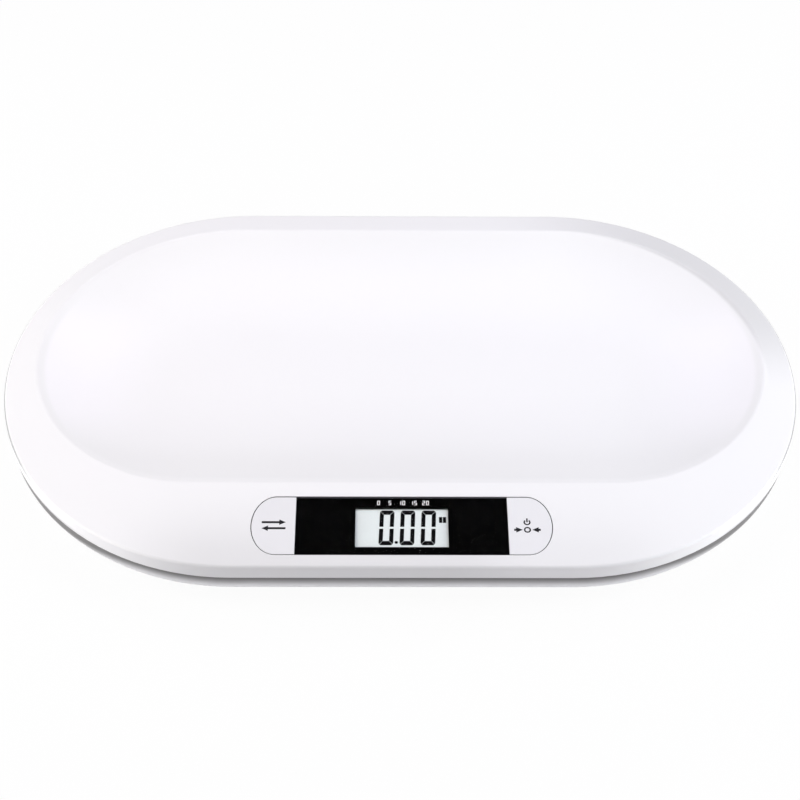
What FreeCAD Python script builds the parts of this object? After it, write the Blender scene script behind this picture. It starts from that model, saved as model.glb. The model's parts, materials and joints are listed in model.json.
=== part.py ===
import FreeCAD, Part
import math
import os

# Digital baby weighing scale: a shallow oval tray with a display and two keys in its
# front deck, screwed down onto a base that stands on four load-cell feet.
# Millimetres. The origin is on the table under the middle of the tray, +X to the
# user's right, +Y away from the display and +Z up.

V = FreeCAD.Vector
UP = V(0, 0, 1)
FACE_OVERLAP = 0.5  # how far a joined block reaches into what it grows from
PAST = 1.0  # how far a cutting shape reaches past what it cuts

# ---- overall form ----
tray_length = 550.0
tray_depth = 330.0
foot_gap = 7.0  # base underside above the table
base_height = 19.0
base_inset = 0.9  # base stands this far inside the tray's outline
shadow_gap = 1.2  # dark line between base and tray
lip_height = 11.6
crest_rise = 1.8  # basin edge above the lip's top edge
land = 18.8  # rim between the lip and the basin along the back
front_deck = 68.2  # the same between the lip and the basin at the front
end_shift = 4.2  # how far the basin's rear corners are centred beyond the outline's
corner_turn = 34.0  # degrees above the X axis where the basin's tighter front corners begin
basin_depth = 21.0
floor_corner = 19.5  # radius of the flat floor's front corners
basin_bend = 40.0  # where the slope at the edge would meet the floor

# ---- mouldings ----
tray_wall = 2.5
lip_round = 1.8
lip_foot_round = 0.5  # along the lip's lower edge
crest_round = 3.0
base_floor = 2.4
base_wall = 3.0
base_round = 13.5
upstand_wall = 1.8
upstand_height = 4.0
upstand_root = 3.0  # how far it runs down inside the base's wall
upstand_clearance = 0.4
rib_wall = 1.6
gusset_reach = 26.0
gusset_clearance = 0.7
gusset_turn = 30.0  # degrees between gussets round the ends
tray_rib_drop = 2.6  # ribs under the basin floor
tray_rib_pitch = 46.0
tray_rib_reach = 40.0  # past the outline's straight sides
cross_rib_pitch = 69.0
rear_gusset_pitch = 40.0
basin_margin = 4.0  # blank left below the basin before it is hollowed
base_rib_height = 2.4
base_rib_pitch = 46.0

# ---- screws between the two shells ----
shell_boss_radius = 4.0
shell_pilot_radius = 1.5
shell_hole_radius = 1.8
shell_head_radius = 2.9
shell_head_height = 2.0
shell_bore_radius = 3.4
shell_screw_length = 12.0
shell_web = 3.0
shell_post_radius = 5.0
screw_clearance = 0.05
boss_gap = 0.2
corner_screw_edge = 20.1  # from the tray's outline
corner_screw_turn = 39.4  # degrees above the X axis, about the end's centre
rear_screw_inset = 15.0  # in from the end of the straight side
front_screw_shift = 12.0  # past the end of the straight side
edge_screw_inset = 19.0
cross_length = 3.2  # recess in the screw heads
cross_width = 0.8
cross_depth = 0.9
screw_end_gap = 1.0

# ---- display panel, in the plane of the front deck ----
panel_setback = 33.0  # lip edge to panel centre, in plan
panel_height = 45.5
lens_length = 138.0
lens_thickness = 1.2
mask_thickness = 0.2
key_length = 28.4
key_nose = 16.0  # depth of the key's rounded end
panel_gap = 0.6
lens_seat_gap = 0.05
aperture_length = 60.3
aperture_height = 31.2
aperture_offset = -0.7
ledge_margin = 1.2  # deck opening beyond the mask's aperture
key_flange = 1.4
key_flange_wall = 1.2
key_play = 0.1
key_travel = 0.5
key_stem_radius = 3.5
key_edge = 0.25
key_web_inset = 4.0
key_web_shift = 1.0

# ---- board, LCD and switches ----
board_length = 182.0
board_height = 45.0
board_offset = 3.5  # board's middle behind the panel's
board_thickness = 1.6
board_corner = 3.0
board_drop = 9.0  # deck surface to the board's top
board_boss_radius = 3.0
board_boss_x = 46.0
board_boss_y = 13.0
board_screw_radius = 1.1
board_head_radius = 2.2
board_head_height = 1.4
board_screw_length = 6.0
board_hole_gap = 0.2
controller_size = (12.0, 12.0, 1.6)
controller_place = (62.0, 0.0)
converter_size = (8.0, 5.0, 1.5)
converter_place = (-58.0, 8.0)
crystal_size = (7.0, 3.0, 2.2)
crystal_place = (-58.0, -2.0)
capacitor_radius = 2.0
capacitor_height = 4.5
capacitor_places = ((-66.0, -9.0), (-71.0, -9.0))
lcd_length = 68.0
lcd_height = 36.0
lcd_thickness = 2.8
lcd_ledge = 2.5
lcd_gap = 0.2
holder_wall = 2.0
zebra_inset = 4.0  # in from each end of the glass
zebra_width = 2.4
switch_side = 6.2
switch_height = 3.5
plunger_radius = 1.75
plunger_rise = 0.8
plunger_depth = 0.9
plunger_clearance = 0.1
plunger_end_gap = 0.3
switch_x = 84.0
socket_size = (10.0, 7.0, 4.0)
socket_x = 62.0
socket_y = 8.0

# ---- battery compartment ----
cell_radius = 5.25
cell_length = 43.5
cell_nub_radius = 1.9
cell_nub_length = 1.0
cell_pitch = 10.9
cell_count = 4
contact_space = 4.0
cell_side_gap = 0.4
cell_floor_gap = 0.2
cell_roof_gap = 0.4
box_wall = 1.8
box_roof = 1.6
door_thickness = 2.0
door_gap = 0.3
door_ledge = 2.8
hinge_setback = 1.5  # hinge axis in from the door's front edge
hinge_lift = 0.3  # hinge axis above the middle of the door
hinge_clearance = 0.4
pin_radius = 0.75
pin_length = 1.6
pin_clearance = 0.05
pin_end_gap = 0.3
latch_length = 12.0
latch_height = 4.0
latch_wall = 1.4
latch_gap = 0.5
latch_side_room = 1.0
latch_top_room = 0.6
latch_slot_width = 1.2
latch_slot_length = 9.0
scoop_radius = 9.0
scoop_length = 14.0
scoop_depth = 0.8
scoop_setback = 4.0
battery_setback = 43.0  # lip edge to compartment centre, in plan
contact_sheet = 0.4
contact_seat = 0.05
contact_touch = 0.05
contact_width = 7.0
contact_foot_gap = 1.2
contact_head_gap = 0.6
leaf_width = 4.0
leaf_drop = 3.0  # root of the leaf below the cells' axis
leaf_rise = 1.0  # and its tip above it
leaf_bend = 2.0

# ---- load-cell feet ----
foot_edge = 43.7  # foot's axis in from the tray's outline
foot_turn = 58.15  # degrees above the X axis, about the end's centre
pad_radius = 18.0
pad_thickness = 2.5
pad_chamfer = 0.6
cap_radius = 20.0
cap_top_gap = 1.4
cap_chamfer = 2.0
cap_roof = 2.0
neck_radius = 12.6
neck_wall = 2.2
neck_clearance = 0.4
hook_reach = 1.2
hook_height = 1.2
hook_gap = 0.1
foot_play = 0.8  # free drop of the foot when the scale is lifted
finger_slot = 7.0
finger_root = 0.4
boss_radius = 4.5
load_cell_side = 34.0
load_cell_sheet = 2.2
load_cell_corner = 3.0
load_cell_seat = 2.0
seat_wall = 2.0
seat_height = 3.2
tongue_width = 13.0
tongue_length = 22.0
tongue_slot = 2.5
cell_touch = 0.1  # foot boss to load cell
gauge_size = (9.0, 7.0, 2.6)
gauge_offset = -4.0
retainer_width = 37.0
retainer_sheet = 2.5
retainer_margin = 1.5
retainer_overhang = 2.0
retainer_hole_gap = 0.3
retainer_window = 23.0
retainer_post_y = 25.0
retainer_post_radius = 3.5
retainer_screw_radius = 1.2
retainer_head_radius = 2.6
retainer_head_height = 1.4
retainer_screw_length = 8.0

# ---- wiring ----
lead_radius = 1.2
lead_lift = 0.1
lead_slack = 0.3
lead_spacing = 3.0
lead_root = 0.6  # below the battery box's roof
battery_lead_inset = 2.2  # past the middle of the outer cells' contacts

# ---- derived levels and outlines ----
end_radius = tray_depth / 2
half_straight = (tray_length - tray_depth) / 2
crest_radius = end_radius - land
crest_straight = half_straight + end_shift
corner_angle = math.radians(corner_turn)
corner_shift = (crest_radius - end_radius + front_deck) / (1 + math.sin(corner_angle))
corner_radius = crest_radius - corner_shift
basin_spread = corner_radius - floor_corner  # from the basin's edge to its flat floor
z_base = foot_gap
z_floor_top = z_base + base_floor
z_base_rim = z_base + base_height
z_lip_bottom = z_base_rim + shadow_gap
z_lip_top = z_lip_bottom + lip_height
z_crest = z_lip_top + crest_rise
z_basin = z_crest - basin_depth
z_under_basin = z_basin - tray_wall
z_upstand = z_base_rim + upstand_height
z_join = z_lip_bottom + 1.0  # tray bosses end here
basin_slope = math.atan2(basin_depth, basin_bend)
deck_tilt = math.atan2(crest_rise, front_deck)


# ---- shared shapes ----
def quarter(start, corner, end):
    """A quarter of an ellipse from start to end, tangent to the lines that meet at corner."""
    arc = Part.BezierCurve()
    arc.setPoles([start, corner, end])
    arc.setWeight(2, math.sqrt(0.5))
    return arc.toShape()


def half_outline(z, straight, shift, rear_radius, front_radius):
    """The right half of an outline: rear arc, tighter front arc, joined at the corner angle.

    straight is the rear arc's centre along X, and shift is how far the front arc's centre
    lies from it, along the corner angle.
    """
    turn = math.radians(-90)
    middle = (corner_angle + turn) / 2
    front = V(straight + shift * math.cos(corner_angle), shift * math.sin(corner_angle), z)
    rear = V(straight, 0, z)

    def at(centre, radius, angle):
        return centre + V(math.cos(angle), math.sin(angle), 0) * radius

    rear_middle = (math.pi / 2 + corner_angle) / 2
    joint = at(rear, rear_radius, corner_angle)
    return [
        Part.Arc(at(rear, rear_radius, math.pi / 2), at(rear, rear_radius, rear_middle),
                 joint).toShape(),
        Part.Arc(joint, at(front, front_radius, middle), at(front, front_radius, turn)).toShape(),
    ]


def outline(z, straight, shift, rear_radius, front_radius):
    """Closed outline, straight at the back and the front."""
    rear_arc, front_arc = half_outline(z, straight, shift, rear_radius, front_radius)
    start, end = rear_arc.Vertexes[0].Point, front_arc.Vertexes[-1].Point
    front_line = Part.makeLine(end, V(-end.x, end.y, z))
    rear_line = Part.makeLine(V(-start.x, start.y, z), start)
    return Part.Wire([rear_arc, front_arc, front_line, mirrored_x(front_arc),
                      mirrored_x(rear_arc), rear_line])


def stadium(z, inset):
    """The tray's outline, moved in by inset."""
    return outline(z, half_straight, 0.0, end_radius - inset, end_radius - inset)


def prism(wire, height):
    return Part.Face(wire).extrude(UP * height)


def block(x_size, y_size, z_low, z_high, x=0.0, y=0.0):
    """A box centred on x and y."""
    corner = V(x - x_size / 2, y - y_size / 2, z_low)
    return Part.makeBox(x_size, y_size, z_high - z_low, corner)


def rod(radius, z_low, z_high, x=0.0, y=0.0):
    return Part.makeCylinder(radius, z_high - z_low, V(x, y, z_low), UP)


def rod_x(radius, x_low, x_high, y, z):
    return Part.makeCylinder(radius, x_high - x_low, V(x_low, y, z), V(1, 0, 0))


def revolved(profile, x=0.0, y=0.0):
    """Turns a closed list of (radius, z) points about the upright axis through x, y."""
    points = [V(r, 0, z) for r, z in profile]
    face = Part.Face(Part.makePolygon(points + points[:1]))
    solid = face.revolve(V(0, 0, 0), UP, 360)
    solid.translate(V(x, y, 0))
    return solid


def moved(shape, x, y, z=0.0):
    copy = shape.copy()
    copy.translate(V(x, y, z))
    return copy


def mirrored_x(shape):
    return shape.mirror(V(0, 0, 0), V(1, 0, 0))


def union(shapes):
    return shapes[0].multiFuse(shapes[1:]).removeSplitter() if len(shapes) > 1 else shapes[0]


def tube(points, radius):
    """A round cord along straight runs joined by the largest tangent arcs the runs allow."""
    edges, start = [], points[0]
    for before, here, after in zip(points, points[1:], points[2:]):
        run_in, run_out = here - before, after - here
        half_turn = run_in.getAngle(run_out) / 2
        cut = 0.45 * min(run_in.Length, run_out.Length)
        sagitta = cut / math.tan(half_turn) * (1 / math.cos(half_turn) - 1)
        into = here - run_in.normalize() * cut
        out = here + run_out.normalize() * cut
        middle = here + ((into + out) * 0.5 - here).normalize() * sagitta
        edges += [Part.makeLine(start, into), Part.Arc(into, middle, out).toShape()]
        start = out
    edges.append(Part.makeLine(start, points[-1]))
    section = Part.Wire(Part.makeCircle(radius, points[0], points[1] - points[0]))
    return Part.Solid(Part.Wire(edges).makePipeShell([section], True, False))


# ---- the deck's own plane ----
panel_origin = V(0, -(end_radius - panel_setback),
                 z_lip_top + crest_rise * panel_setback / front_deck)
panel_place = FreeCAD.Placement(
    panel_origin, FreeCAD.Rotation(V(1, 0, 0), math.degrees(deck_tilt)))


def on_panel(shape):
    """Moves a shape drawn on the plane z = 0 onto the front deck."""
    copy = shape.copy()
    copy.Placement = panel_place.multiply(copy.Placement)
    return copy


def key_outline(z, grow):
    """The right-hand key's D, grown outward by grow."""
    inner = lens_length / 2 - grow
    tip = lens_length / 2 + key_length + grow
    half = panel_height / 2 + grow
    shoulder = tip - (key_nose + grow)
    low, high = V(shoulder, -half, z), V(shoulder, half, z)
    return Part.Wire([
        Part.makeLine(V(inner, -half, z), low),
        quarter(low, V(tip, -half, z), V(tip, 0, z)),
        quarter(V(tip, 0, z), V(tip, half, z), high),
        Part.makeLine(high, V(inner, half, z)),
        Part.makeLine(V(inner, half, z), V(inner, -half, z)),
    ])


# ---- tray ----
def crown(z_low, inset, drop):
    """The tray's upright lip and the sloping rim above it, carried on past the basin's edge."""
    past = 1.5
    top = outline(z_lip_top + past * crest_rise - drop, half_straight + past * end_shift,
                  past * corner_shift, end_radius - past * land,
                  end_radius - past * (end_radius - corner_radius))
    walls = [stadium(z_low, inset), stadium(z_lip_top - drop, inset)]
    return Part.makeLoft([*walls, top], True, True)


def basin_section(drop, z_top):
    """Section of the space over the basin, drawn with x as the distance in from its edge.

    The curve is lowered square to itself by drop, and runs straight on past the edge.
    """
    run_on = 5.0
    lowered = V(-drop * math.sin(basin_slope), 0, z_crest - drop * math.cos(basin_slope))
    floor = z_basin - drop
    bend = lowered.x + (lowered.z - floor) / math.tan(basin_slope)
    outer = lowered + V(-1, 0, math.tan(basin_slope)) * run_on
    curve = Part.BezierCurve()
    curve.setPoles([lowered, V(bend, 0, floor), V(basin_spread, 0, floor)])
    inner_top, outer_top = V(basin_spread, 0, z_top), V(outer.x, 0, z_top)
    return Part.Face(Part.Wire([
        Part.makeLine(outer, lowered), curve.toShape(),
        Part.makeLine(V(basin_spread, 0, floor), inner_top),
        Part.makeLine(inner_top, outer_top), Part.makeLine(outer_top, outer)]))


def above_basin(drop):
    """Everything over the basin's surface, or over the surface drop below it."""
    z_top = z_crest + basin_margin + 2 * PAST
    section = basin_section(drop, z_top)
    inward = section.mirror(V(0, 0, 0), V(1, 0, 0))
    rear = moved(inward, crest_radius, 0)
    rear_sweep = rear.revolve(V(0, 0, 0), UP, 90 - corner_turn)
    rear_sweep.rotate(V(0, 0, 0), UP, corner_turn)
    front = moved(inward, corner_radius, 0)
    front_sweep = front.revolve(V(0, 0, 0), UP, 90 + corner_turn)
    front_sweep.rotate(V(0, 0, 0), UP, -90)
    corner_x = crest_straight + corner_shift * math.cos(corner_angle)
    corner_y = corner_shift * math.sin(corner_angle)
    right = [moved(rear_sweep, crest_straight, 0), moved(front_sweep, corner_x, corner_y)]

    across = section.copy()
    across.rotate(V(0, 0, 0), UP, -90)
    rear_strip = moved(across, -crest_straight, crest_radius).extrude(V(2 * crest_straight, 0, 0))
    across = section.copy()
    across.rotate(V(0, 0, 0), UP, 90)
    front_strip = moved(across, -corner_x, corner_y - corner_radius)
    front_strip = front_strip.extrude(V(2 * corner_x, 0, 0))
    middle = prism(outline(z_basin - drop, crest_straight, corner_shift,
                           crest_radius - basin_spread, floor_corner), z_top - z_basin + drop)
    return union(right + [mirrored_x(s) for s in right] + [rear_strip, front_strip, middle])


def level_edges(shape, z, tolerance):
    return [e for e in shape.Edges
            if abs(e.BoundBox.ZMax - z) < tolerance and abs(e.BoundBox.ZMin - z) < tolerance]


def upright_edges(shape):
    return [e for e in shape.Edges if abs(e.tangentAt(0).z) > 0.9]


def end_place(edge, turn):
    """A point in the rear right-hand end, edge in from the outline and turned up from +X."""
    reach, angle = end_radius - edge, math.radians(turn)
    return half_straight + reach * math.cos(angle), reach * math.sin(angle)


def shell_screw_places():
    x, y = end_place(corner_screw_edge, corner_screw_turn)
    corners = [(sx * x, sy * y) for sx in (-1, 1) for sy in (-1, 1)]
    edge = end_radius - edge_screw_inset
    rear = [(sx * (half_straight - rear_screw_inset), edge) for sx in (-1, 1)]
    front = [(sx * (half_straight + front_screw_shift), -edge) for sx in (-1, 1)]
    return corners + rear + front


def gusset_blanks():
    """Upright plates set square to the rim all the way round, clear of the base's upstand."""
    low, high = z_upstand + gusset_clearance, z_crest
    reach, start = gusset_reach, end_radius - tray_wall - gusset_reach + FACE_OVERLAP
    plates = []
    for side in (-1, 1):
        for step in range(-2, 4):
            plate = block(reach, rib_wall, low, high, start + reach / 2, 0)
            plate.rotate(V(0, 0, 0), UP, gusset_turn * (step - 0.5))
            plate.translate(V(half_straight, 0, 0))
            plates.append(plate if side > 0 else mirrored_x(plate))
    for step in (-1.5, -0.5, 0.5, 1.5):
        plates.append(block(rib_wall, reach, low, high, step * rear_gusset_pitch,
                            start + reach / 2))
    return plates


def tray():
    """The moulding above the shadow gap, hollowed from below to an even wall."""
    hull = crown(z_lip_bottom, 0.0, 0.0)
    hull = hull.makeFillet(lip_foot_round, level_edges(hull, z_lip_bottom, 0.01))
    hull = hull.fuse(prism(stadium(z_under_basin - basin_margin, 2 * tray_wall),
                           z_lip_top - z_under_basin))
    hull = hull.makeFillet(lip_round, level_edges(hull, z_lip_top, 0.01))
    body = hull.cut(above_basin(0.0))
    body = body.makeFillet(crest_round, level_edges(body, z_crest, 0.3))

    z_under = z_under_basin - basin_margin - PAST
    hollow = crown(z_under, tray_wall, tray_wall)
    skirt = prism(stadium(z_under, -basin_margin), z_lip_bottom - z_under)
    hollow = hollow.fuse(skirt).cut(above_basin(tray_wall))

    # What stays standing inside the hollow: gussets, basin ribs and screw bosses.
    kept = gusset_blanks()
    rib_low = z_under_basin - tray_rib_drop
    middle_y = (crest_radius + end_radius - front_deck) / 2 - (end_radius - front_deck)
    for offset in (-tray_rib_pitch, 0.0, tray_rib_pitch):
        kept.append(block(2 * (half_straight + tray_rib_reach), rib_wall, rib_low, z_lip_bottom,
                          0, middle_y + offset))
    for step in (-1.5, -0.5, 0.5, 1.5):
        kept.append(block(rib_wall, 3 * tray_rib_pitch, rib_low, z_lip_bottom,
                          step * cross_rib_pitch, middle_y))
    for x, y in shell_screw_places():
        kept.append(rod(shell_boss_radius, z_join, z_crest, x, y))
    hollow = hollow.cut(kept)
    body = body.cut(hollow)

    # Bosses that carry the board, drawn square to the deck.
    board_bosses = [
        on_panel(rod(board_boss_radius, -board_drop, -tray_wall + FACE_OVERLAP, sx * board_boss_x,
                     sy * board_boss_y)) for sx in (-1, 1) for sy in (-1, 1)]
    body = body.fuse(board_bosses)

    cuts = [rod(shell_pilot_radius, z_join - PAST, z_join + shell_screw_length - shell_web, x, y)
            for x, y in shell_screw_places()]
    cuts += [on_panel(rod(board_screw_radius + screw_clearance, -board_drop - PAST,
                          -board_drop + board_screw_length, sx * board_boss_x,
                          sy * board_boss_y)) for sx in (-1, 1) for sy in (-1, 1)]
    seat_depth = lens_thickness + mask_thickness + lens_seat_gap
    seat = block(lens_length + panel_gap, panel_height + 2 * panel_gap, -seat_depth, PAST)
    opening = block(aperture_length + 2 * ledge_margin, aperture_height + 2 * ledge_margin,
                    -tray_wall - PAST, PAST, 0, aperture_offset)
    key_hole = prism(key_outline(-tray_wall - PAST, panel_gap), tray_wall + 2 * PAST)
    cuts += [on_panel(s) for s in (seat, opening, key_hole, mirrored_x(key_hole))]
    return body.cut(cuts)


# ---- display window and keys ----
def display_lens():
    return on_panel(block(lens_length - panel_gap, panel_height, -lens_thickness, 0))


def display_mask():
    sheet_top = -lens_thickness
    sheet = block(lens_length - panel_gap, panel_height, sheet_top - mask_thickness, sheet_top)
    hole = block(aperture_length, aperture_height, sheet_top - PAST, PAST, 0, aperture_offset)
    return on_panel(sheet.cut(hole))


stem_bottom = -board_drop + switch_height + plunger_rise


def right_key():
    """Cap flush with the deck, a flange that stops it under the deck, and a stem."""
    flange_top = -tray_wall - key_play
    flange_low = flange_top - key_flange_wall
    cap = prism(key_outline(flange_top, 0.0), -flange_top)
    top_edges = [e for e in cap.Edges if e.BoundBox.ZMin > -0.01]
    cap = cap.makeChamfer(key_edge, top_edges)
    flange = prism(key_outline(flange_low, key_flange), key_flange_wall)
    stem = rod(key_stem_radius, stem_bottom, flange_low, switch_x, 0)
    web = block(key_length - 2 * key_web_inset, rib_wall, stem_bottom, flange_low,
                switch_x - key_web_shift, 0)
    return union([cap, flange, stem, web])


def right_plunger():
    low = -board_drop + switch_height - plunger_depth
    return rod(plunger_radius, low, stem_bottom, switch_x, 0)


def key_switches():
    top = -board_drop + switch_height
    body = block(switch_side, switch_side, -board_drop, top, switch_x, 0)
    well = rod(plunger_radius + plunger_clearance,
               top - plunger_depth - key_travel - plunger_end_gap, top + PAST, switch_x, 0)
    body = body.cut(well)
    return on_panel(Part.makeCompound([body, mirrored_x(body)]))


# ---- board and LCD ----
def main_board():
    low = -board_drop - board_thickness
    plate = block(board_length, board_height, low, -board_drop, 0, board_offset)
    plate = plate.makeFillet(board_corner, upright_edges(plate))
    holes = [rod(board_screw_radius + board_hole_gap, low - PAST, PAST - board_drop,
                 sx * board_boss_x, sy * board_boss_y) for sx in (-1, 1) for sy in (-1, 1)]
    return on_panel(plate.cut(holes))


def board_screws():
    seat = -board_drop - board_thickness
    screws = []
    for sx in (-1, 1):
        for sy in (-1, 1):
            x, y = sx * board_boss_x, sy * board_boss_y
            head = rod(board_head_radius, seat - board_head_height, seat, x, y)
            shank = rod(board_screw_radius, seat, seat + board_screw_length, x, y)
            screws.append(head.fuse(shank).removeSplitter())
    return on_panel(Part.makeCompound(screws))


lcd_top = -tray_wall - lcd_gap
lcd_low = lcd_top - lcd_thickness


def lcd_glass():
    """Two glass plates; the lower one stands out at the back as the contact ledge."""
    half = lcd_thickness / 2
    lower = block(lcd_length, lcd_height, lcd_low, lcd_low + half, 0, aperture_offset)
    upper = block(lcd_length, lcd_height - lcd_ledge, lcd_low + half, lcd_top, 0,
                  aperture_offset - lcd_ledge / 2)
    return on_panel(union([lower, upper]))


def lcd_holder():
    clear = 2 * lcd_gap
    frame = block(lcd_length + 2 * holder_wall + clear, lcd_height + 2 * holder_wall + clear,
                  -board_drop, lcd_top, 0, aperture_offset)
    pocket = block(lcd_length + clear, lcd_height + clear, lcd_low, PAST, 0, aperture_offset)
    well = block(lcd_length - 2 * holder_wall, lcd_height - 2 * holder_wall, -board_drop - PAST,
                 0, 0, aperture_offset)
    return on_panel(frame.cut([pocket, well]))


def zebra_strips():
    reach = lcd_height / 2 - holder_wall - zebra_width / 2 - lcd_gap
    strips = [block(lcd_length - 2 * zebra_inset, zebra_width, -board_drop, lcd_low, 0,
                    aperture_offset + s * reach) for s in (-1, 1)]
    return on_panel(Part.makeCompound(strips))


def board_parts():
    """Controller, converter, crystal and two capacitors on the board's upper side."""
    top = -board_drop
    blocks = ((controller_size, controller_place), (converter_size, converter_place),
              (crystal_size, crystal_place))
    parts = [block(x_size, y_size, top, top + height, *place)
             for (x_size, y_size, height), place in blocks]
    parts += [rod(capacitor_radius, top, top + capacitor_height, *place)
              for place in capacitor_places]
    return on_panel(Part.makeCompound(parts))


def lead_sockets():
    """Two plug sockets under the board that take the load cells' leads."""
    x_size, y_size, height = socket_size
    top = -board_drop - board_thickness
    sockets = [block(x_size, y_size, top - height, top, s * socket_x, socket_y) for s in (-1, 1)]
    return on_panel(Part.makeCompound(sockets))


# ---- battery compartment levels ----
battery_y = -(end_radius - battery_setback)
box_x = cell_length + cell_nub_length + 2 * contact_space
box_y = cell_count * cell_pitch + 2 * cell_side_gap
door_x = box_x + 2 * door_ledge
door_y = box_y + 2 * door_ledge
z_door_top = z_base + door_thickness
z_cell = z_floor_top + cell_floor_gap + cell_radius
z_box_roof = z_cell + cell_radius + cell_roof_gap
hinge_y = battery_y - door_y / 2 + hinge_setback
hinge_z = z_base + door_thickness / 2 + hinge_lift
hinge_relief = math.hypot(hinge_setback, hinge_z - z_base) + hinge_clearance


# ---- base ----
def foot_places():
    x, y = end_place(foot_edge, foot_turn)
    return {"front_left": (-x, -y), "front_right": (x, -y), "rear_left": (-x, y),
            "rear_right": (x, y)}


z_seat = z_floor_top + seat_height
z_load_cell_top = z_seat + load_cell_sheet
z_retainer_top = z_load_cell_top + retainer_sheet


def upstand():
    """A rim along the base's wall that stands up inside the tray's lip, behind the shadow gap."""
    outer = tray_wall + upstand_clearance
    z_root = z_base_rim - upstand_root
    rim = prism(stadium(z_root, outer), upstand_height + upstand_root)
    inside = prism(stadium(z_root - PAST, outer + upstand_wall),
                   upstand_height + upstand_root + 2 * PAST)
    return rim.cut(inside)


def base_shell():
    body = prism(stadium(z_base, base_inset), base_height)
    body = body.makeFillet(base_round, level_edges(body, z_base, 0.01))
    room = prism(stadium(z_floor_top, base_inset + base_wall), base_height)
    room = room.makeFillet(base_round - base_floor, level_edges(room, z_floor_top, 0.01))
    body = body.cut(room)

    added = [upstand()]
    floor_in = z_floor_top - FACE_OVERLAP
    rib_top = z_floor_top + base_rib_height
    for step in (-1, 0, 1):
        added.append(block(4 * base_rib_pitch, rib_wall, floor_in, rib_top, 0,
                           step * base_rib_pitch))
    for step in (-2, -1, 0, 1, 2):
        added.append(block(rib_wall, 2 * base_rib_pitch + rib_wall, floor_in, rib_top,
                           step * base_rib_pitch, 0))

    post_top = z_join - boss_gap
    for x, y in shell_screw_places():
        added.append(rod(shell_post_radius, floor_in, post_top, x, y))
    for x, y in foot_places().values():
        inner = load_cell_side - 2 * load_cell_seat
        outer_side = inner + 2 * (load_cell_seat + seat_wall)
        seat = block(outer_side, outer_side, floor_in, z_seat, x, y)
        added.append(seat.cut(block(inner, inner, floor_in - PAST, z_seat + PAST, x, y)))
        for side in (-1, 1):
            added.append(rod(retainer_post_radius, floor_in, z_load_cell_top, x,
                             y + side * retainer_post_y))
    box = block(box_x + 2 * (box_wall + door_ledge), box_y + 2 * (box_wall + door_ledge),
                floor_in, z_box_roof + box_roof, 0, battery_y)
    body = body.fuse(added + [box])

    cuts = [block(box_x, box_y, z_base - PAST, z_box_roof, 0, battery_y)]
    cuts.append(block(door_x + 2 * door_gap, door_y + door_gap, z_base - PAST, z_floor_top, 0,
                      battery_y + door_gap / 2))
    cuts.append(rod_x(hinge_relief, -door_x / 2 - door_gap, door_x / 2 + door_gap, hinge_y, hinge_z))
    pin_end = door_x / 2 + pin_length + pin_end_gap
    cuts.append(rod_x(pin_radius + pin_clearance, -pin_end, pin_end, hinge_y, hinge_z))
    cuts.append(block(latch_length + 2 * latch_side_room, 2 * hinge_relief, z_base - PAST,
                      z_floor_top + latch_height + latch_top_room, 0,
                      battery_y + door_y / 2 - latch_wall))
    for x, y in shell_screw_places():
        cuts.append(rod(shell_bore_radius, z_base - PAST, post_top - shell_web, x, y))
        cuts.append(rod(shell_hole_radius, z_base, post_top + PAST, x, y))
    for x, y in foot_places().values():
        cuts.append(rod(neck_radius + neck_clearance, z_base - PAST, z_floor_top + PAST, x, y))
        for side in (-1, 1):
            cuts.append(rod(retainer_screw_radius + screw_clearance, z_floor_top - FACE_OVERLAP,
                            z_load_cell_top + PAST, x, y + side * retainer_post_y))
    # Holes through the box's roof for the battery leads.
    for x, y in battery_lead_places():
        cuts.append(rod(lead_radius + lead_slack, z_box_roof - PAST, z_box_roof + box_roof + PAST,
                        x, y))
    return body.cut(cuts)


def battery_door():
    plate = block(door_x, door_y, z_base, z_door_top, 0, battery_y)
    barrel = rod_x(door_thickness / 2, -door_x / 2, door_x / 2, hinge_y, hinge_z)
    pin = rod_x(pin_radius, -door_x / 2 - pin_length, door_x / 2 + pin_length, hinge_y, hinge_z)
    rear = battery_y + door_y / 2
    latch = block(latch_length, latch_wall, z_door_top - FACE_OVERLAP, z_door_top + latch_height,
                  0, rear - latch_wall / 2 - latch_gap)
    door = union([plate, barrel, pin, latch])
    scoop = rod_x(scoop_radius, -scoop_length / 2, scoop_length / 2, rear - scoop_setback,
                  z_base + scoop_depth - scoop_radius)
    slots = [block(latch_slot_width, latch_slot_length, z_base - PAST, z_door_top + PAST,
                   s * (latch_length / 2 + latch_slot_width), rear - scoop_setback)
             for s in (-1, 1)]
    return door.cut([scoop] + slots)


# ---- batteries and contacts ----
def cell_rows():
    """Each cell's y and the sign of the end its positive nub points to."""
    first = battery_y - (cell_count - 1) * cell_pitch / 2
    return [(first + i * cell_pitch, 1 if i % 2 else -1) for i in range(cell_count)]


def battery_cells():
    cells = []
    for y, sign in cell_rows():
        length = cell_length / 2
        can = rod_x(cell_radius, -length, length, y, z_cell)
        nub_low = length if sign > 0 else -length - cell_nub_length
        nub = rod_x(cell_nub_radius, nub_low, nub_low + cell_nub_length, y, z_cell)
        cells.append(can.fuse(nub).removeSplitter())
    return Part.makeCompound(cells)


def contact_leaf(reach, y):
    """A strip bent out from the right-hand contact plate to touch a cell's end."""
    root = box_x / 2 - contact_seat - contact_sheet / 2
    tip = box_x / 2 - contact_sheet - contact_seat - reach
    low, high = z_cell - leaf_drop, z_cell + leaf_rise
    side = [(root, low), (tip, high - leaf_bend), (tip, high), (tip + contact_sheet, high),
            (tip + contact_sheet, high - leaf_bend), (root, low + 2 * contact_sheet)]
    points = [V(x, y - leaf_width / 2, z) for x, z in side]
    return Part.Face(Part.makePolygon(points + points[:1])).extrude(V(0, leaf_width, 0))


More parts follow.
